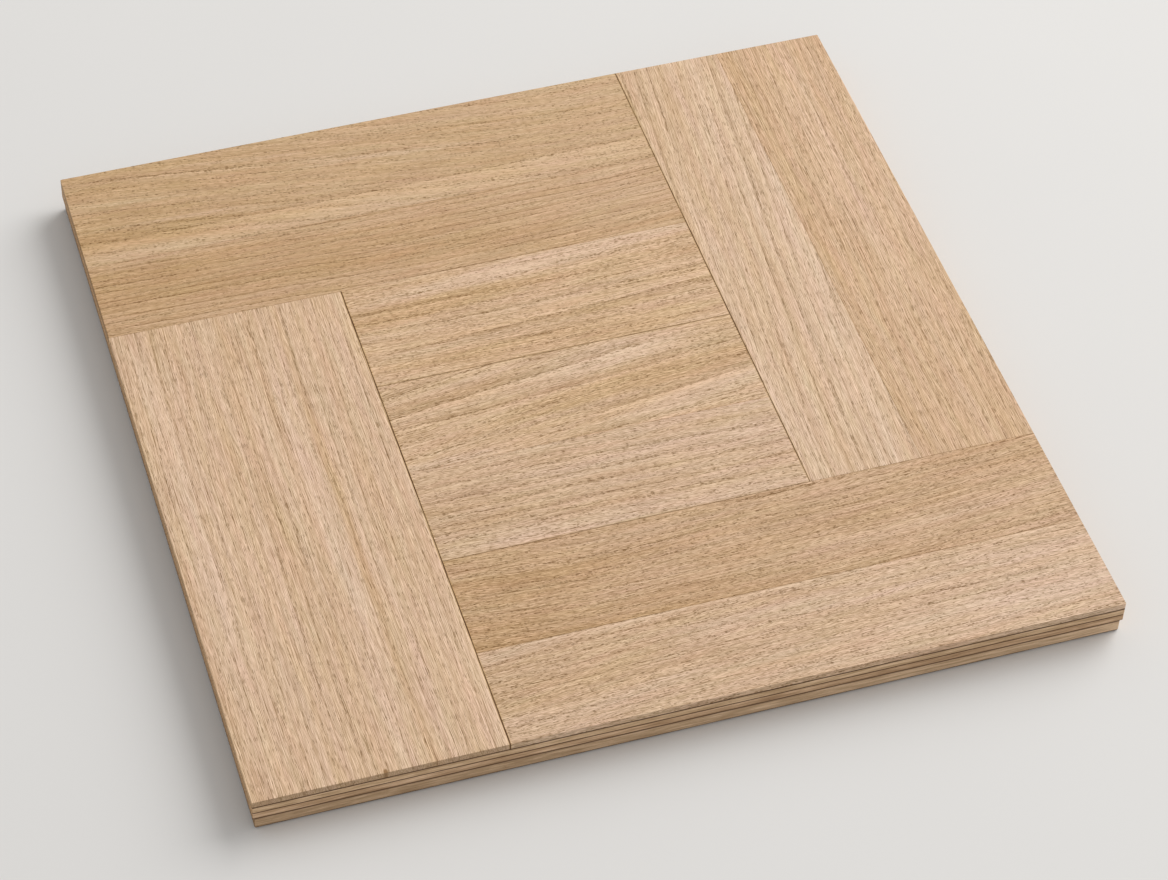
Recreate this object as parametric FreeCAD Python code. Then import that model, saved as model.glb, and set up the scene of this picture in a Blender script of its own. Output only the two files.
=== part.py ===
import FreeCAD, Part
import os

os.makedirs("parts", exist_ok=True)

# Parquet block: oak strips laid as a pinwheel on two plies and a backing layer.
# Millimetres. Origin in the middle of the underside, +X to the right along the
# front edge, +Y to the back, +Z up out of the oak face.

# The block
corner_radius = 0.8           # upright corners of the block

# Layers, from the top down
face_thickness = 4.2
upper_ply_thickness = 4.8
lower_ply_thickness = 5.0
backing_thickness = 9.5

# Strip widths, left to right
left_plank_width = 140.0
right_inner_width = 67.0
right_outer_width = 68.0

# Strip widths, back to front; together they are the side of the square
back_outer_width = 80.0
back_inner_width = 60.0
centre_back_width = 81.0
centre_middle_width = 69.0
centre_front_width = 68.5
front_inner_width = 67.5
front_outer_width = 64.0

# Eased edges
strip_arris = 0.15            # upper edges of every strip, so each joint shows as a fine line
upper_ply_arris = 0.4         # outer edges of the upper ply, above and below
lower_ply_arris = 0.6         # outer edges of the lower ply, above and below
backing_setback = 1.0         # the backing stands this far inside the plies all round
backing_upper_arris = 0.4
backing_lower_radius = 1.2    # rounded lower edge that lets the block slide in beside its neighbour

# Levels
backing_top = backing_thickness
lower_ply_top = backing_top + lower_ply_thickness
upper_ply_top = lower_ply_top + upper_ply_thickness
block_height = upper_ply_top + face_thickness

# Edges and joint lines, all derived from the strip widths
back_arm_width = back_outer_width + back_inner_width
centre_width = centre_back_width + centre_middle_width + centre_front_width
front_arm_width = front_inner_width + front_outer_width
block_side = back_arm_width + centre_width + front_arm_width
left_edge = -block_side / 2
right_edge = block_side / 2
back_edge = block_side / 2
front_edge = -block_side / 2
left_joint = left_edge + left_plank_width
right_strip_joint = right_edge - right_outer_width
right_joint = right_strip_joint - right_inner_width
back_strip_joint = back_edge - back_outer_width
back_joint = back_edge - back_arm_width
centre_joint_back = back_joint - centre_back_width
centre_joint_front = centre_joint_back - centre_middle_width
front_joint = front_edge + front_arm_width
front_strip_joint = front_edge + front_outer_width


def box_between(x_low, x_high, y_low, y_high, z_low, z_high):
    corner = FreeCAD.Vector(x_low, y_low, z_low)
    return Part.makeBox(x_high - x_low, y_high - y_low, z_high - z_low, corner)


def edges_at_level(solid, level):
    return [edge for edge in solid.Edges if all(abs(v.Z - level) < 0.001 for v in edge.Vertexes)]


def upright_edges(solid):
    found = []
    for edge in solid.Edges:
        first, last = edge.Vertexes[0].Point, edge.Vertexes[-1].Point
        if abs(first.z - last.z) > 0.001:
            found.append(edge)
    return found


def outer_corners(solid):
    """Upright edges that stand at one of the block's four corners."""
    found = []
    for edge in upright_edges(solid):
        point = edge.Vertexes[0].Point
        if abs(abs(point.x) - right_edge) < 0.001 and abs(abs(point.y) - back_edge) < 0.001:
            found.append(edge)
    return found


def strip(x_low, x_high, y_low, y_high):
    """One oak strip of the face, its four upper edges eased."""
    blank = box_between(x_low, x_high, y_low, y_high, upper_ply_top, block_height)
    corners = outer_corners(blank)
    if corners:
        blank = blank.makeFillet(corner_radius, corners)
    return blank.makeChamfer(strip_arris, edges_at_level(blank, block_height))


def layer(z_low, z_high, setback):
    """One full sheet under the face with rounded upright corners."""
    sheet = box_between(left_edge + setback, right_edge - setback,
                        front_edge + setback, back_edge - setback, z_low, z_high)
    return sheet.makeFillet(corner_radius, upright_edges(sheet))


def ply(z_low, z_high, arris):
    sheet = layer(z_low, z_high, 0.0)
    return sheet.makeChamfer(arris, edges_at_level(sheet, z_low) + edges_at_level(sheet, z_high))


def backing():
    sheet = layer(0.0, backing_top, backing_setback)
    sheet = sheet.makeChamfer(backing_upper_arris, edges_at_level(sheet, backing_top))
    return sheet.makeFillet(backing_lower_radius, edges_at_level(sheet, 0.0))


pieces = {
    # back arm: runs from the left edge to the right arm
    "back_arm_outer_strip": strip(left_edge, right_joint, back_strip_joint, back_edge),
    "back_arm_inner_strip": strip(left_edge, right_joint, back_joint, back_strip_joint),
    # right arm: runs from the back edge to the front arm
    "right_arm_inner_strip": strip(right_joint, right_strip_joint, front_joint, back_edge),
    "right_arm_outer_strip": strip(right_strip_joint, right_edge, front_joint, back_edge),
    # front arm: runs from the left plank to the right edge
    "front_arm_inner_strip": strip(left_joint, right_edge, front_strip_joint, front_joint),
    "front_arm_outer_strip": strip(left_joint, right_edge, front_edge, front_strip_joint),
    # left arm: one wide plank from the front edge to the back arm
    "left_arm_plank": strip(left_edge, left_joint, front_edge, back_joint),
    # centre field between the four arms
    "centre_back_strip": strip(left_joint, right_joint, centre_joint_back, back_joint),
    "centre_middle_strip": strip(left_joint, right_joint, centre_joint_front, centre_joint_back),
    "centre_front_strip": strip(left_joint, right_joint, front_joint, centre_joint_front),
    # sheets under the face
    "upper_ply": ply(lower_ply_top, upper_ply_top, upper_ply_arris),
    "lower_ply": ply(backing_top, lower_ply_top, lower_ply_arris),
    "backing_layer": backing(),
}

for name, solid in pieces.items():
    solid.exportStep(os.path.join("parts", name + ".step"))
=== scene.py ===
import math
from functools import reduce

import bmesh
import bpy
from mathutils import Matrix, Vector


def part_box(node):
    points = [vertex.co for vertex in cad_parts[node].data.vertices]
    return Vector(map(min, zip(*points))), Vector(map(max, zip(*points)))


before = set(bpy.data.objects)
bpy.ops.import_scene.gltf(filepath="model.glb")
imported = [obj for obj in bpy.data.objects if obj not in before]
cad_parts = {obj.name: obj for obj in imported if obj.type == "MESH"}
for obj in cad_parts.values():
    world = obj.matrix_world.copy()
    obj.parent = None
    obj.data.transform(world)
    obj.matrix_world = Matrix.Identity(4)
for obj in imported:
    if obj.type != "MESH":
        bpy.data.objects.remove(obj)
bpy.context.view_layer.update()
print("frame loaded:", len(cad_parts), "pieces")

perMetre = 1000.0    # the patterns are given in millimetres


def tone(red, green, blue):
    # a colour as it is read off a screen, 0 to 255, made linear
    made = []
    for value in (red, green, blue):
        share = value / 255
        made.append(share / 12.92 if share <= 0.04045 else ((share + 0.055) / 1.055) ** 2.4)
    return (*made, 1.0)


def stepped(colour, step):
    # a screen colour some steps lighter or darker, made linear
    return tone(*(value + change for value, change in zip(colour, step)))


class Wire:
    # one output socket in the node tree being built; an expression on wires adds its Math nodes
    tree = None

    def __init__(self, socket):
        self.socket = socket

    @classmethod
    def node(cls, kind, settings=None, sockets=None, out=0):
        made = cls.tree.nodes.new("ShaderNode" + kind)
        for name, value in (settings or {}).items():
            setattr(made, name, value)
        for name, value in (sockets or {}).items():
            if isinstance(value, Wire):
                cls.tree.links.new(value.socket, made.inputs[name])
            else:
                made.inputs[name].default_value = value
        return cls(made.outputs[out]) if made.outputs else None    # an output node leads nowhere

    @classmethod
    def sum(cls, operation, first, second=0.0):
        return cls.node("Math", {"operation": operation}, {0: first, 1: second})

    def __add__(self, other):
        return Wire.sum("ADD", self, other)

    def __radd__(self, other):
        return Wire.sum("ADD", other, self)

    def __sub__(self, other):
        return Wire.sum("SUBTRACT", self, other)

    def __rsub__(self, other):
        return Wire.sum("SUBTRACT", other, self)

    def __mul__(self, other):
        return Wire.sum("MULTIPLY", self, other)

    def __rmul__(self, other):
        return Wire.sum("MULTIPLY", other, self)

    def __truediv__(self, other):
        return Wire.sum("DIVIDE", self, other)

    def least(self, other):
        return Wire.sum("MINIMUM", self, other)

    def most(self, other):
        return Wire.sum("MAXIMUM", self, other)

    def held(self):
        # kept from 0 to 1
        return self.most(0.0).least(1.0)

    def part(self):
        return Wire.sum("FRACT", self)

    def size(self):
        return Wire.sum("ABSOLUTE", self)

    def ease(self, low, high, start, end):
        return Wire.node("MapRange", {"interpolation_type": "SMOOTHSTEP"},
                         {"Value": self, "From Min": low, "From Max": high, "To Min": start, "To Max": end})

    def rise(self, low, high):
        # 0 below low, 1 above high, smooth between
        return self.ease(low, high, 0.0, 1.0)

    def fall(self, low, high):
        # 1 below low, 0 above high, smooth between
        return self.ease(low, high, 1.0, 0.0)


def blend(factor, first, second, mode="MIX"):
    sockets = {0: factor, 6: first, 7: second}
    return Wire.node("Mix", {"data_type": "RGBA", "blend_type": mode}, sockets, out=2)


def startTree(owner):
    # a material or the world gets an empty node tree, and wires go into it from here on
    owner.use_nodes = True
    Wire.tree = owner.node_tree
    Wire.tree.nodes.clear()
    return owner


def dress(name, material):
    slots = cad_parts[name].data.materials
    slots.clear()
    slots.append(material)


def boxInMillimetres(name):
    low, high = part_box(name)
    return low * perMetre, high * perMetre


def placeInMillimetres():
    place = Wire.node("TexCoord", None, None, out="Object")
    scaled = Wire.node("VectorMath", {"operation": "SCALE"}, {0: place, "Scale": perMetre})
    return [Wire.node("SeparateXYZ", None, {0: scaled}, out=axis) for axis in range(3)]


def facing(axis):
    # how far the surface faces along an axis, -1 to 1
    normal = Wire.node("TexCoord", None, None, out="Normal")
    return Wire.node("SeparateXYZ", None, {0: normal}, out=axis)


noiseForm = {
    "rowShift": 0.37,    # slides each row along the grain, so that no two rows line up
    "seedShift": 1.7,    # the same across the grain, for each seed
    "roughness": 0.5,
}


def grainNoise(along, across, depth, length, width, seed, detail=1.0):
    # noise drawn out along the grain, from -0.5 to 0.5; length and width in millimetres
    rows = across / width
    place = Wire.node("CombineXYZ", None, {"X": along / length + rows * noiseForm["rowShift"] + seed,
                                           "Y": rows + seed * noiseForm["seedShift"],
                                           "Z": depth / width + round(seed)})
    return Wire.node("TexNoise", None, {"Vector": place, "Scale": 1.0, "Detail": detail,
                                        "Roughness": noiseForm["roughness"]}) - 0.5


# oak face strips
faceFinish = {
    "roughness": 0.52,                      # sanded, matt oiled
    "roughnessOfFibres": 0.2,
    "roughnessOfPores": 0.12,
    "specular": 0.3,
    "bumpHeight": 0.00035,                  # metres
    "bumpOfFibres": 0.5,
    "bumpOfStreaks": 0.2,
    "bumpOfPores": 0.35,
    "darkStep": (-57, -61, -68),            # from a strip's colour to its darkest wood, 0 to 255
    "darkShade": 60.0,                      # the shade that reaches the darkest wood
    "lightStep": (41, 41, 44),
    "lightShade": 42.0,
    "golden": (1.04, 0.99, 0.84, 1.0),      # tint of the wood, strongest where it is dark
    "goldenShade": 0.045,
    "goldenMottle": 1.1,
    "pink": (1.0, 0.9, 0.98, 1.0),          # tint in clouds over all the wood
    "pinkMottle": 1.5,
    "endStep": (-45, -50, -55),             # cut ends are darker
    "endStrength": 0.45,
    "endFacing": (0.5, 0.8),                # how far it faces along the grain: end grain starts, and is full
    "paleRise": (0.7, 1.1),                 # a lighter band near the edge, in millimetres from the edge of the strip
    "paleFall": (1.2, 2.6),
    "seamDark": tone(84, 42, 0),
    "seamWidth": 0.6,                       # millimetres from the edge of the strip
    "brownShadeWidth": 1.2,                      # painted brown shade beside a dark seam
    "brownShadeTint": (1.0, 0.98, 0.78, 1.0),
    "seamPatch": 22.0,                      # a seam is fuller and emptier over this length
    "seamUneven": 1.6,
    "seamFill": 0.9,
    "seamCore": 0.3,                        # share of its width over which a seam or its painted brown shade is full
    # dark of the glue lines, which also paints the shade in the gaps between layers
    "glueAndShadeDark": tone(76, 46, 18),
    "glueAndShadeLine": (0.2, 0.6),                 # millimetres above the underside of the strip
    "glueAndShadeStrength": 0.85,
    "glueAndShadeFacing": (0.3, 0.6),               # how far it faces up or down: the glue line with its painted shade is full, and ends
    "leftWallShade": (0.98, 0.92, 0.75, 1.0),    # painted shade on the left wall, which faces away from the light
}

# added to a strip's seed, so that each layer of noise has its own pattern
seedSteps = {
    "wander": 3.1, "band": 5.7, "ripple": 7.7, "cloud": 11.3, "streak": 21.9, "line": 27.5,
    "fibre": 31.3, "hair": 41.5, "ringWander": 51.1, "ring": 61.0, "poreRow": 81.0,
    "seam": 91.0, "gold": 101.0, "pink": 111.0,
}

leftShadeFacing = (-0.9, -0.5)    # how far it faces along +X: the painted shade of a left wall is full, and ends

# a growth ring drawn across a strip, in millimetres from its sharp edge
strokeForm = {
    "edge": 0.5,
    "lightRise": (0.1, 0.7),
    "lightReach": 5.0,
    "poreEdge": (0.2, 1.3),
    "fade": 0.05,            # how softly the ends of its run fade, as a share of the strip
    "ripple": 1.2,           # how much of the grain's ripple it follows
}


def throughThree(start, middle, end):
    # the curve a + b * share + c * share * share through three heights at share 0, 0.5 and 1
    return start, 4 * middle - 3 * start - end, 2 * start - 4 * middle + 2 * end


def strokeShade(along, across, share, mark):
    # slowly darker up to the ring's edge and light just past it
    start, slope, curl = throughThree(*mark["at"])
    curve = start + share * (slope + share * curl)
    past = (across - curve) * mark.get("turned", 1.0)
    before = past.rise(-mark["reach"], 0.0) * past.fall(0.0, strokeForm["edge"])
    lightReach = mark.get("lightReach", strokeForm["lightReach"])
    after = past.rise(*strokeForm["lightRise"]) * past.fall(strokeForm["lightRise"][1], lightReach)
    first, last = mark["run"]
    fade = strokeForm["fade"]
    window = share.rise(first - fade, first + fade) * share.fall(last - fade, last + fade)
    edge = past.size().fall(*strokeForm["poreEdge"]) * window
    return (after * mark["light"] - before * mark["dark"]) * window, edge


def patchShade(share, across, patch):
    # a soft lighter or darker patch, drawn out along the grain
    (middle, height), (run, width) = patch["at"], patch["size"]
    aside = (share - middle) * patch.get("tilt", 0.0)
    first, second = (share - middle) / run, (across - height - aside) / width
    return (first * first + second * second).fall(0.0, 1.0) * patch["tone"]


def poreMask(along, grain, depth, rows, edges, look):
    # short dark dashes, crowded in rows and along the ring edges
    seed = look["seed"]
    place = Wire.node("CombineXYZ", None, {"X": along / look["poreLength"] + seed,
                                           "Y": grain / look["poreWidth"] + seed,
                                           "Z": depth / look["poreDepth"] + seed})
    settings = {"feature": "F1", "voronoi_dimensions": "3D"}
    sockets = {"Vector": place, "Scale": 1.0, "Randomness": 1.0}
    distance = Wire.node("TexVoronoi", settings, sockets)
    cellColour = Wire.node("TexVoronoi", settings, sockets, out=1)
    chance = Wire.node("SeparateColor", None, {0: cellColour}, out=0)
    reach = look["poreSize"] * (chance + rows * look["poreRows"] + edges * look["poreCrowding"])
    return ((reach - distance) / look["poreSoftness"]).held()


def alongSeams(distances, strengths, width):
    # a mask beside those edges of a strip that have a strength, gone at a width from them
    masks = []
    for distance, strength in zip(distances, strengths):
        if strength > 0:
            masks.append(distance.fall(width * faceFinish["seamCore"], width) * strength)
    return reduce(Wire.most, masks)


def oakFace(name, look):
    material = startTree(bpy.data.materials.new(name + "_oak"))
    low, high = boxInMillimetres(name)
    x, y, z = placeInMillimetres()
    left, right, back, front = x - low.x, high.x - x, high.y - y, y - low.y
    if look["grain"] == "x":
        along, across, length, endAxis = left, back, high.x - low.x, 0
    else:
        along, across, length, endAxis = back, right, high.y - low.y, 1
    depth = (high.z - z) * look["depthScale"]
    seed = look["seed"]

    def noise(layer, rows, width=None, detail=1.0):
        width = width or look[layer + "Width"]
        return grainNoise(along, rows, depth, look[layer + "Length"], width, seed + seedSteps[layer], detail)

    # the grain follows three slopes: at the start, middle and end of the strip
    share = along / length
    first, second, third = throughThree(*look["slopes"])
    bend = share * (first + share * (second / 2 + share * (third / 3)))
    wander = noise("wander", across) * look["wander"]
    ripple = noise("ripple", across) * look["ripple"]
    grain = across - bend * length + wander + ripple + depth * look["depthLean"]

    # cloudy tone, bands, streaks, lines and fibres, from broad to fine
    cloud = noise("cloud", grain)
    bands = noise("band", grain)
    streaks = noise("streak", grain)
    lines = noise("line", grain)
    hairs = noise("hair", grain).rise(*look["hairRise"])
    fibres = noise("fibre", grain, detail=0.0)

    # growth rings: each slowly darkens and ends in a sharp edge
    pitch = look["ringPitch"]
    ringWander = noise("ringWander", grain, width=pitch * look["ringWanderPitches"])
    phase = (grain / pitch + ringWander * look["ringWander"] + seed).part()
    ringTone = phase - 0.5
    ringStart, ringFull = look["ringEdge"]
    ringEdge = phase.rise(ringStart, ringFull) * phase.fall(ringFull, 1.0)
    ringBreaks = noise("ring", grain, width=pitch * look["ringBreakPitches"]).rise(*look["ringBreaks"])

    slow = cloud * look["cloud"] + bands * look["bands"]
    for patch in look.get("patches", []):
        slow = slow + patchShade(share, across + wander + ripple, patch)
    shade = (slow + streaks * look["streaks"] + lines * look["lines"] + fibres * look["fibres"]
             - hairs * look["hairDark"] - ringTone * look["ringTone"]
             - ringEdge * ringBreaks * look["ringDark"])
    for distance, light in zip((left, right, back, front), look["paleEdges"]):
        if light > 0:
            paleBand = distance.rise(*faceFinish["paleRise"]) * distance.fall(*faceFinish["paleFall"])
            shade = shade + paleBand * light
    edges = ringEdge
    for mark in look.get("strokes", []):
        stroke, edge = strokeShade(along, across + ripple * strokeForm["ripple"], share, mark)
        shade = shade + stroke
        edges = edges.most(edge)
    pores = poreMask(along, grain, depth, noise("poreRow", grain), edges, look)
    shade = shade - pores * look["poreDark"] + look["poreLift"]

    # the shade picks a colour from the strip's darkest wood over its own to its lightest
    own = look["colour"]
    darker = (0 - shade / faceFinish["darkShade"]).held()
    lighter = (shade / faceFinish["lightShade"]).held()
    colour = blend(darker, tone(*own), stepped(own, faceFinish["darkStep"]))
    colour = blend(lighter, colour, stepped(own, faceFinish["lightStep"]))

    # dark wood runs golden, and pinkish clouds lie over all of it
    goldNoise = noise("gold", grain, detail=3.0)
    pinkNoise = noise("pink", grain, detail=3.0)
    gold = (0.5 - slow * faceFinish["goldenShade"] + goldNoise * faceFinish["goldenMottle"]).held()
    pink = (0.5 + pinkNoise * faceFinish["pinkMottle"]).held()
    colour = blend(gold, colour, faceFinish["golden"], "MULTIPLY")
    colour = blend(pink, colour, faceFinish["pink"], "MULTIPLY")

    # cut ends show darker end grain
    ends = facing(endAxis).size().rise(*faceFinish["endFacing"])
    colour = blend(ends * faceFinish["endStrength"], colour, stepped(own, faceFinish["endStep"]))

    # dirt and painted shadow in the seams, uneven along their run, with painted brown shade beside them
    if any(look["seams"]):
        distances = (left, right, back, front)
        brownShade = alongSeams(distances, look["seams"], faceFinish["brownShadeWidth"])
        seam = alongSeams(distances, look["seams"], faceFinish["seamWidth"])
        patch = faceFinish["seamPatch"]
        patchNoise = grainNoise(x, y, depth, patch, patch, seed + seedSteps["seam"])
        patchy = patchNoise * faceFinish["seamUneven"] + faceFinish["seamFill"]
        colour = blend(brownShade, colour, faceFinish["brownShadeTint"], "MULTIPLY")
        colour = blend((seam * patchy).held(), colour, faceFinish["seamDark"])

    # glue line under the strip, seen from the side, darkened further as painted shade in the gap below the
    # strip
    glueAndShade = (z - low.z).fall(*faceFinish["glueAndShadeLine"]) * facing(2).size().fall(*faceFinish["glueAndShadeFacing"])
    colour = blend(glueAndShade * faceFinish["glueAndShadeStrength"], colour, faceFinish["glueAndShadeDark"])
    # painted shade on walls that face left, away from the light
    colour = blend(facing(0).fall(*leftShadeFacing), colour, faceFinish["leftWallShade"], "MULTIPLY")

    height = (fibres * faceFinish["bumpOfFibres"] + streaks * faceFinish["bumpOfStreaks"]
              - pores * faceFinish["bumpOfPores"])
    bump = Wire.node("Bump", None, {"Strength": 1.0, "Distance": faceFinish["bumpHeight"], "Height": height})
    roughness = (faceFinish["roughness"] + fibres * faceFinish["roughnessOfFibres"]
                 + pores * faceFinish["roughnessOfPores"])
    shader = Wire.node("BsdfPrincipled", None, {"Base Color": colour, "Roughness": roughness, "Normal": bump,
                                               "Specular IOR Level": faceFinish["specular"]})
    Wire.node("OutputMaterial", None, {"Surface": shader})
    dress(name, material)


# what a strip's dictionary holds, here for grain that runs from side to side:
# lengths and widths of the layers in millimetres, and the strength of each in shades of 0 to 255;
# seams and paleEdges stand for the left, right, back and front edge;
# a stroke lies at three distances across the strip, at its start, middle and end
plain = {
    "grain": "x", "depthScale": 1.0, "depthLean": 0.35,
    "wander": 5.0, "wanderLength": 120.0, "wanderWidth": 30.0,
    "ripple": 1.6, "rippleLength": 16.0, "rippleWidth": 5.0,
    "cloud": 12.0, "cloudLength": 190.0, "cloudWidth": 42.0,
    "bands": 20.0, "bandLength": 420.0, "bandWidth": 12.0,
    "streaks": 2.0, "streakLength": 70.0, "streakWidth": 3.0,
    "lines": 150.0, "lineLength": 40.0, "lineWidth": 0.37,
    "hairDark": 52.0, "hairLength": 22.0, "hairWidth": 0.4, "hairRise": (0.12, 0.2),
    "fibres": 124.0, "fibreLength": 4.0, "fibreWidth": 0.37,
    "ringPitch": 5.0, "ringTone": 7.0, "ringDark": 14.0, "ringEdge": (0.7, 0.97),
    "ringLength": 110.0, "ringBreaks": (-0.1, 0.14), "ringBreakPitches": 0.8,
    "ringWander": 1.2, "ringWanderLength": 400.0, "ringWanderPitches": 2.2,
    "poreDark": 52.0, "poreLift": 12.0, "poreSize": 0.42, "poreSoftness": 0.16,
    "poreLength": 2.6, "poreWidth": 0.62, "poreDepth": 1.5, "poreCrowding": 0.45,
    "poreRows": 1.3, "poreRowLength": 120.0, "poreRowWidth": 4.0,
    "goldLength": 60.0, "goldWidth": 9.0, "pinkLength": 45.0, "pinkWidth": 7.0,
    "paleEdges": (0, 0, 0, 0),
}

# strips whose grain runs from front to back
upright = {
    **plain, "grain": "y", "depthScale": 0.4, "wander": 3.5, "ripple": 0.8,
    "cloud": 10.0, "bands": 18.0, "lines": 86.0, "lineLength": 80.0, "lineWidth": 0.5,
    "hairDark": 54.0, "hairLength": 34.0, "hairWidth": 0.5,
    "fibres": 82.0, "fibreLength": 7.0, "fibreWidth": 0.43,
    "poreDark": 34.0, "poreLength": 5.0,
}

backOuter = {
    **plain, "seed": 2.3, "colour": (185, 156, 116), "slopes": (0.05, 0.15, -0.02),
    "seams": (0, 0.5, 0, 0.05), "ringPitch": 9.0, "ringTone": 6.0, "ringDark": 6.0,
    "lines": 94.0, "bands": 17.0, "bandWidth": 9.0, "hairDark": 20.0, "fibres": 76.0,
    "strokes": [
        {"at": (62.0, 62.0, 60.0), "run": (-0.1, 1.1), "dark": 3.0, "light": 12.0, "reach": 6.0,
         "lightReach": 22.0},
        {"at": (4.0, 28.9, 53.7), "run": (0.11, 0.34), "dark": 3.0, "light": 22.0, "reach": 3.0,
         "lightReach": 2.2},
    ],
    "patches": [
        {"at": (0.32, 13.0), "size": (0.16, 2.4), "tilt": 45.0, "tone": 9.0},
        {"at": (0.12, 31.0), "size": (0.14, 2.2), "tilt": 30.0, "tone": 8.0},
        {"at": (0.55, 33.0), "size": (0.2, 3.0), "tilt": 22.0, "tone": 7.0},
        {"at": (0.15, 52.0), "size": (0.2, 2.2), "tilt": 8.0, "tone": 8.0},
        {"at": (0.75, 24.0), "size": (0.2, 2.6), "tilt": 12.0, "tone": 6.0},
        {"at": (0.0, 62.0), "size": (0.28, 15.0), "tone": -7.9},
        {"at": (0.1, 22.0), "size": (0.4, 32.0), "tone": -4.0},
        {"at": (0.35, 78.0), "size": (0.65, 11.0), "tone": 6.6},
        {"at": (1.0, 42.0), "size": (0.3, 60.0), "tone": 4.6},
    ],
}
oakFace("back_arm_outer_strip", backOuter)

backInner = {
    **plain, "seed": 5.9, "colour": (184, 153, 113), "slopes": (0.035, 0.02, -0.06),
    "seams": (0, 0.7, 0.03, 0.03), "ringPitch": 4.4, "ringTone": 12.0, "ringDark": 32.0,
    "ringLength": 260.0, "ringWander": 0.7, "fibres": 74.0, "lines": 105.0, "hairDark": 18.0,
    "poreDark": 36.0, "poreLift": 10.5,
    "patches": [
        {"at": (0.2, 23.0), "size": (0.5, 19.0), "tone": -6.2},
        {"at": (0.1, 2.0), "size": (0.3, 6.0), "tone": 6.2},
        {"at": (0.97, 25.0), "size": (0.3, 42.0), "tone": 6.8},
        {"at": (0.45, 59.0), "size": (0.6, 12.0), "tone": 5.0},
    ],
}
oakFace("back_arm_inner_strip", backInner)

rightInner = {
    **upright, "seed": 9.1, "colour": (199, 173, 141), "slopes": (0.09, 0.085, 0.04),
    "seams": (0.85, 0.12, 0, 0), "ringPitch": 8.0, "ringTone": 10.0, "ringDark": 17.0,
    "ringLength": 200.0, "lines": 76.0, "hairDark": 46.0,
    "patches": [
        {"at": (0.0, 62.0), "size": (0.3, 18.0), "tone": -7.2},
        {"at": (0.6, 8.0), "size": (0.5, 26.0), "tone": 3.0},
        {"at": (0.75, 48.0), "size": (0.3, 14.0), "tone": -2.4},
    ],
}
oakFace("right_arm_inner_strip", rightInner)

rightOuter = {
    **upright, "seed": 12.7, "colour": (195, 166, 131), "slopes": (0.04, 0.03, 0.02),
    "seams": (0.12, 0, 0, 0), "ringPitch": 4.5,
    "patches": [
        {"at": (0.3, 20.0), "size": (0.42, 26.0), "tone": 3.1},
        {"at": (0.0, 58.0), "size": (0.35, 15.0), "tone": -5.0},
        {"at": (0.4, 56.0), "size": (0.4, 12.0), "tone": -2.7},
        {"at": (0.9, 30.0), "size": (0.35, 50.0), "tone": -2.7},
    ],
}
oakFace("right_arm_outer_strip", rightOuter)

frontInner = {
    **plain, "seed": 17.3, "colour": (186, 156, 119), "slopes": (0.07, -0.01, -0.08),
    "seams": (0.95, 0, 0.1, 0.18), "hairLength": 11.0, "hairDark": 50.0, "poreLength": 2.5,
    "patches": [
        {"at": (0.0, 30.0), "size": (0.35, 62.0), "tone": -6.8},
        {"at": (0.22, 58.0), "size": (0.4, 18.0), "tone": -3.7},
        {"at": (1.0, 52.0), "size": (0.45, 26.0), "tone": 6.2},
        {"at": (0.75, 34.0), "size": (0.3, 11.0), "tone": -3.1},
    ],
}
oakFace("front_arm_inner_strip", frontInner)

frontOuter = {
    **plain, "seed": 22.1, "colour": (195, 168, 136), "slopes": (-0.05, -0.02, -0.01),
    "seams": (0.95, 0, 0.2, 0), "paleEdges": (0, 0, 16, 0), "ringPitch": 6.0,
    "hairLength": 10.0, "poreLength": 2.5,
    "patches": [
        {"at": (0.05, 30.0), "size": (0.4, 24.0), "tone": -6.2},
        {"at": (0.97, 32.0), "size": (0.45, 42.0), "tone": 5.6},
    ],
}
oakFace("front_arm_outer_strip", frontOuter)

# the last patch is a pin knot at the front edge
leftPlank = {
    **upright, "seed": 27.9, "colour": (201, 174, 142), "slopes": (0.03, 0.0, -0.005),
    "seams": (0, 1.0, 0.04, 0), "paleEdges": (0, 24, 0, 0), "wander": 2.5, "ripple": 0.5,
    "ringPitch": 6.5, "ringTone": 8.0, "ringDark": 15.0, "ringLength": 180.0,
    "patches": [
        {"at": (0.5, 42.0), "size": (0.75, 3.5), "tone": -7.2},
        {"at": (0.5, 52.0), "size": (0.6, 9.0), "tone": 2.4},
        {"at": (0.0, 70.0), "size": (0.15, 100.0), "tone": -2.4},
        {"at": (0.998, 67.6), "size": (0.007, 1.6), "tone": -75.0},
    ],
}
oakFace("left_arm_plank", leftPlank)

centreBack = {
    **plain, "seed": 33.7, "colour": (195, 166, 129), "slopes": (0.05, 0.0, -0.01),
    "seams": (0.95, 0.75, 0, 0.52), "paleEdges": (0, 8, 0, 0),
    "ringPitch": 9.0, "ringTone": 2.0, "ringDark": 6.0,
    "strokes": [
        {"at": (57.5, 53.0, 46.5), "run": (-0.1, 1.1), "dark": 13.2, "light": 12.3, "reach": 9.0,
         "lightReach": 5.5, "turned": -1.0},
        {"at": (23.5, 23.0, 22.0), "run": (-0.1, 0.35), "dark": 15.8, "light": 7.9, "reach": 3.5},
        {"at": (40.5, 40.0, 37.0), "run": (0.15, 1.1), "dark": 14.1, "light": 5.3, "reach": 5.6},
        {"at": (10.0, 11.0, 12.5), "run": (0.6, 1.1), "dark": 14.1, "light": 5.3, "reach": 2.8},
        {"at": (68.0, 66.0, 61.0), "run": (0.4, 1.1), "dark": 10.6, "light": 5.3, "reach": 4.2},
    ],
    "patches": [
        {"at": (0.7, 5.5), "size": (0.85, 8.5), "tilt": -16.0, "tone": 16.1},
        {"at": (0.2, 24.0), "size": (0.6, 9.0), "tone": -10.3},
        {"at": (0.5, 70.0), "size": (0.6, 14.0), "tone": -5.8},
    ],
}
oakFace("centre_back_strip", centreBack)

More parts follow.
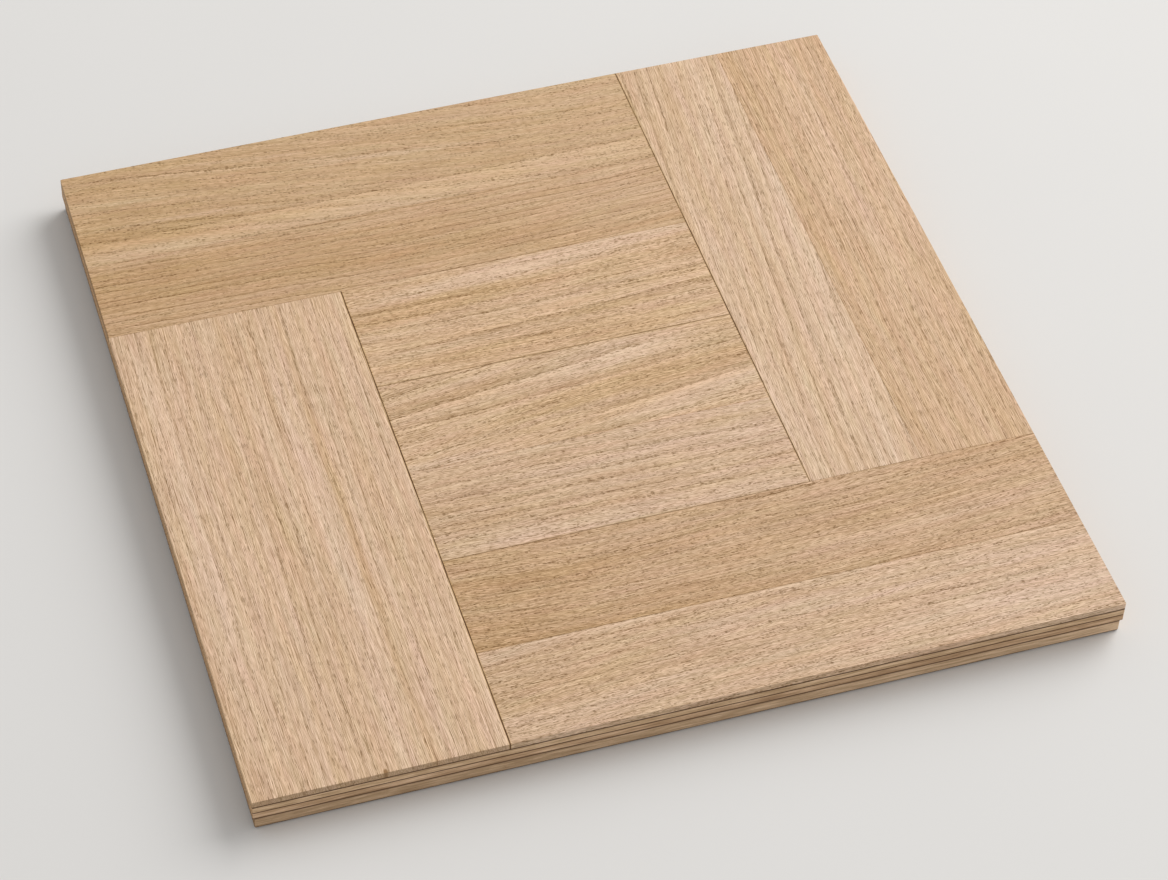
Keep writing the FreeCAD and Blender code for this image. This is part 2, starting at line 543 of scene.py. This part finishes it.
centreMiddle = {
    **plain, "seed": 38.3, "colour": (195, 167, 131), "slopes": (-0.12, -0.07, -0.03),
    "seams": (0.95, 0.75, 0.52, 0), "paleEdges": (0, 8, 8, 0),
    "ringPitch": 9.0, "ringTone": 3.0, "ringDark": 6.0, "poreLength": 2.8,
    "strokes": [
        {"at": (27.5, 14.0, 3.0), "run": (-0.1, 0.75), "dark": 20.2, "light": 15.8, "reach": 11.2},
        {"at": (11.5, -6.0, -20.0), "run": (-0.1, 0.5), "dark": 15.8, "light": 7.9, "reach": 7.0},
        {"at": (36.5, 30.0, 19.0), "run": (-0.1, 1.0), "dark": 14.1, "light": 12.3, "reach": 5.6},
        {"at": (62.0, 55.0, 42.0), "run": (0.5, 1.1), "dark": 15.8, "light": 17.6, "reach": 9.8},
        {"at": (76.0, 70.0, 57.0), "run": (0.5, 1.1), "dark": 10.6, "light": 10.6, "reach": 5.6},
    ],
    "patches": [
        {"at": (0.62, 12.0), "size": (0.38, 10.0), "tilt": -14.0, "tone": 12.1},
        {"at": (0.7, 36.0), "size": (0.5, 9.0), "tilt": -20.0, "tone": -11.0},
        {"at": (0.88, 54.0), "size": (0.45, 8.0), "tilt": -25.0, "tone": 9.9},
        {"at": (0.1, 66.0), "size": (0.25, 5.0), "tone": 8.8},
    ],
}
oakFace("centre_middle_strip", centreMiddle)

centreFront = {
    **plain, "seed": 44.9, "colour": (195, 168, 136), "slopes": (0.015, 0.02, 0.03),
    "seams": (0.95, 0.75, 0, 0.62), "paleEdges": (0, 8, 0, 0),
    "ringPitch": 6.4, "ringTone": 2.0, "ringDark": 8.0, "lines": 128.0,
    "strokes": [
        {"at": (8.5, 8.0, 10.0), "run": (0.15, 0.45), "dark": 13.4, "light": 5.6, "reach": 2.8},
        {"at": (15.5, 15.0, 21.0), "run": (0.05, 1.1), "dark": 14.1, "light": 5.6, "reach": 3.1},
        {"at": (26.5, 26.5, 27.5), "run": (-0.1, 1.0), "dark": 14.1, "light": 5.6, "reach": 3.5},
        {"at": (35.0, 34.5, 34.0), "run": (-0.1, 1.1), "dark": 10.6, "light": 4.2, "reach": 2.8},
        {"at": (45.5, 45.5, 44.5), "run": (-0.1, 1.1), "dark": 11.3, "light": 4.2, "reach": 3.1},
        {"at": (54.0, 54.0, 55.0), "run": (-0.1, 1.1), "dark": 9.8, "light": 4.2, "reach": 2.8},
    ],
    "patches": [
        {"at": (0.0, 32.0), "size": (0.35, 42.0), "tone": -5.6},
        {"at": (0.88, 50.0), "size": (0.4, 32.0), "tone": 4.0},
    ],
}
oakFace("centre_front_strip", centreFront)
print("oak face dressed")


# plies and backing
layerFinish = {
    "roughness": 0.62,                # sawn edges
    "roughnessOfFibres": 0.15,
    "specular": 0.25,
    "bumpStrength": 0.2,
    "bumpHeight": 0.0004,             # metres
    "bumpOfStreaks": 0.5,
    "streaks": (22.0, 1.5, 1.0),      # length and width in millimetres, then the step of the seed
    "fibres": (6.0, 0.4, 9.0),
    "clouds": (90.0, 30.0, 17.0),
    "pores": (2.5, 0.45, 25.0),
    "poreRise": (0.15, 0.24),
    "cloudStrength": 22.0,
    "detail": 1.5,
    "darkStep": (-50, -50, -50),      # from a layer's colour to its darkest wood, 0 to 255
    "darkShade": 50.0,                # the shade that reaches the darkest wood
    "lightStep": (40, 40, 40),
    "lightShade": 40.0,
    "glueAndShadeStrength": 0.88,
    "glueAndShadeCore": 0.5,                  # share of its width over which a glue line with its painted shade is full
    "glueAndShadeFacing": (0.7, 0.95),        # how far it faces up or down: the glue line with its painted shade is full, and ends
}


def layerWood(name, look):
    material = startTree(bpy.data.materials.new(name + "_wood"))
    low, high = boxInMillimetres(name)
    x, y, z = placeInMillimetres()
    above, below = high.z - z, z - low.z

    def noise(layer, detail=1.0):
        length, width, step = layerFinish[layer]
        return grainNoise(x, y, above, length, width, look["seed"] + step, detail)

    streaks = noise("streaks", layerFinish["detail"])
    fibres = noise("fibres", layerFinish["detail"])
    clouds = noise("clouds")
    pores = noise("pores").rise(*layerFinish["poreRise"])
    shade = (streaks * look["streaks"] + fibres * look["fibres"] + clouds * layerFinish["cloudStrength"]
             - pores * look["poreDark"] + x / high.x * look["drift"])

    own = look["colour"]
    darker = (0 - shade / layerFinish["darkShade"]).held()
    lighter = (shade / layerFinish["lightShade"]).held()
    colour = blend(darker, tone(*own), stepped(own, layerFinish["darkStep"]))
    colour = blend(lighter, colour, stepped(own, layerFinish["lightStep"]))

    # glue lines along the top and the foot of the wall, with painted shade: under the layer above, and at
    # the backing's foot a painted contact shadow
    top, foot = look["glueAndShadeTop"], look["glueAndShadeFoot"]
    core = layerFinish["glueAndShadeCore"]
    glueAndShade = above.fall(top * core, top).most(below.fall(foot * core, foot))
    walls = 1 - facing(2).size().rise(*layerFinish["glueAndShadeFacing"])
    colour = blend(glueAndShade * walls * layerFinish["glueAndShadeStrength"], colour, faceFinish["glueAndShadeDark"])
    # painted shade on walls that face left, away from the light
    colour = blend(facing(0).fall(*leftShadeFacing), colour, look["leftWallShadeTint"], "MULTIPLY")

    height = fibres + streaks * layerFinish["bumpOfStreaks"]
    bump = Wire.node("Bump", None, {"Strength": layerFinish["bumpStrength"],
                                    "Distance": layerFinish["bumpHeight"], "Height": height})
    roughness = layerFinish["roughness"] + fibres * layerFinish["roughnessOfFibres"]
    shader = Wire.node("BsdfPrincipled", None, {"Base Color": colour, "Roughness": roughness, "Normal": bump,
                                               "Specular IOR Level": layerFinish["specular"]})
    Wire.node("OutputMaterial", None, {"Surface": shader})
    dress(name, material)


# drift is how much lighter a layer is at its right end; the glue lines with their painted shade are in
# millimetres
# the left tint of each layer is painted shade on its wall facing left, away from the light
upperPly = {
    "seed": 51.0, "colour": (206, 172, 134), "streaks": 120.0, "fibres": 60.0, "poreDark": 22.0,
    "drift": -3.0, "glueAndShadeTop": 0.8, "glueAndShadeFoot": 0.65, "leftWallShadeTint": (0.84, 0.76, 0.62, 1.0),
}
layerWood("upper_ply", upperPly)

lowerPly = {
    "seed": 57.0, "colour": (196, 160, 124), "streaks": 130.0, "fibres": 60.0, "poreDark": 22.0,
    "drift": -6.0, "glueAndShadeTop": 0.6, "glueAndShadeFoot": 1.2, "leftWallShadeTint": (0.74, 0.67, 0.54, 1.0),
}
layerWood("lower_ply", lowerPly)

# the backing's glue lines are mostly painted shade: the shadow under the ply above, and the contact shadow
# at its foot
backing = {
    "seed": 63.0, "colour": (200, 168, 133), "streaks": 110.0, "fibres": 50.0, "poreDark": 20.0,
    "drift": 12.0, "glueAndShadeTop": 2.1, "glueAndShadeFoot": 1.7, "leftWallShadeTint": (0.56, 0.5, 0.39, 1.0),
}
layerWood("backing_layer", backing)
print("plies and backing dressed")


# floor
paper = {
    "reach": 6.0,               # metres from the middle to an edge
    "lift": 0.00002,            # metres, so that the underside shows whole from below
    "dark": tone(224, 222, 219),
    "pale": tone(226, 224, 221),
    "mottleScale": 6.0,
    "mottleDetail": 2.0,
    "roughness": 0.85,
    "specular": 0.1,
}
floorMesh = bpy.data.meshes.new("studio_floor")
sheet = bmesh.new()
lifted = Matrix.Translation((0.0, 0.0, paper["lift"]))
bmesh.ops.create_grid(sheet, x_segments=1, y_segments=1, size=paper["reach"], matrix=lifted)
sheet.to_mesh(floorMesh)
sheet.free()
floor = bpy.data.objects.new("studio_floor", floorMesh)
bpy.context.scene.collection.objects.link(floor)
floorMesh.materials.append(startTree(bpy.data.materials.new("floor_paper")))
floorPlace = Wire.node("TexCoord", None, None, out="Object")
mottle = Wire.node("TexNoise", None, {"Vector": floorPlace, "Scale": paper["mottleScale"],
                                      "Detail": paper["mottleDetail"]})
floorShader = Wire.node("BsdfPrincipled", None, {"Base Color": blend(mottle, paper["dark"], paper["pale"]),
                                                "Roughness": paper["roughness"],
                                                "Specular IOR Level": paper["specular"]})
Wire.node("OutputMaterial", None, {"Surface": floorShader})

# soft sky over a plain backdrop, and one large window light
light = {
    "sky": 0.55,
    "backdrop": tone(231, 229, 226),
    "power": 300.0,
    "distance": 5.6,
    "turn": 23.0,               # degrees from +X towards +Y
    "height": 34.0,             # degrees above the floor
    "width": 5.4,
}
world = startTree(bpy.data.worlds.new("studio_sky"))
bpy.context.scene.world = world
rays = [Wire.node("LightPath", None, None, out=kind)
        for kind in ("Is Camera Ray", "Is Glossy Ray", "Is Transmission Ray")]
sky = Wire.node("Background", None, {"Color": (1.0, 1.0, 1.0, 1.0), "Strength": light["sky"]})
backdrop = Wire.node("Background", None, {"Color": light["backdrop"], "Strength": 1.0})
mixed = Wire.node("MixShader", None, {0: reduce(Wire.most, rays), 1: sky, 2: backdrop})
Wire.node("OutputWorld", None, {"Surface": mixed})

turn, height = math.radians(light["turn"]), math.radians(light["height"])
towards = Vector((math.cos(turn) * math.cos(height), math.sin(turn) * math.cos(height), math.sin(height)))
windowData = bpy.data.lights.new("window_light", "AREA")
windowData.shape = "DISK"
windowData.size = light["width"]
windowData.energy = light["power"]
window = bpy.data.objects.new("window_light", windowData)
window.location = towards * light["distance"]
window.rotation_mode = "QUATERNION"
window.rotation_quaternion = towards.to_track_quat("Z", "Y")
bpy.context.scene.collection.objects.link(window)

# camera at the photograph's viewing angle
view = {
    "place": (-0.44369, -1.31282, 1.47944),
    "turn": 15.964,             # degrees, looking to the right of +Y
    "down": 47.437,
    "lens": 107.31,
    "sensor": 36.0,
    "shift": 0.115,
    "nearest": 0.05,
}
cameraData = bpy.data.cameras.new("camera")
cameraData.sensor_fit = "HORIZONTAL"
cameraData.sensor_width = view["sensor"]
cameraData.lens = view["lens"]
cameraData.shift_x = view["shift"]
cameraData.clip_start = view["nearest"]
camera = bpy.data.objects.new("camera", cameraData)
turn, down = math.radians(view["turn"]), math.radians(view["down"])
looking = Vector((math.sin(turn) * math.cos(down), math.cos(turn) * math.cos(down), -math.sin(down)))
camera.location = view["place"]
camera.rotation_mode = "QUATERNION"
camera.rotation_quaternion = looking.to_track_quat("-Z", "Y")
bpy.context.scene.collection.objects.link(camera)
bpy.context.scene.camera = camera
bpy.context.scene.view_settings.view_transform = "Standard"
print("studio set")
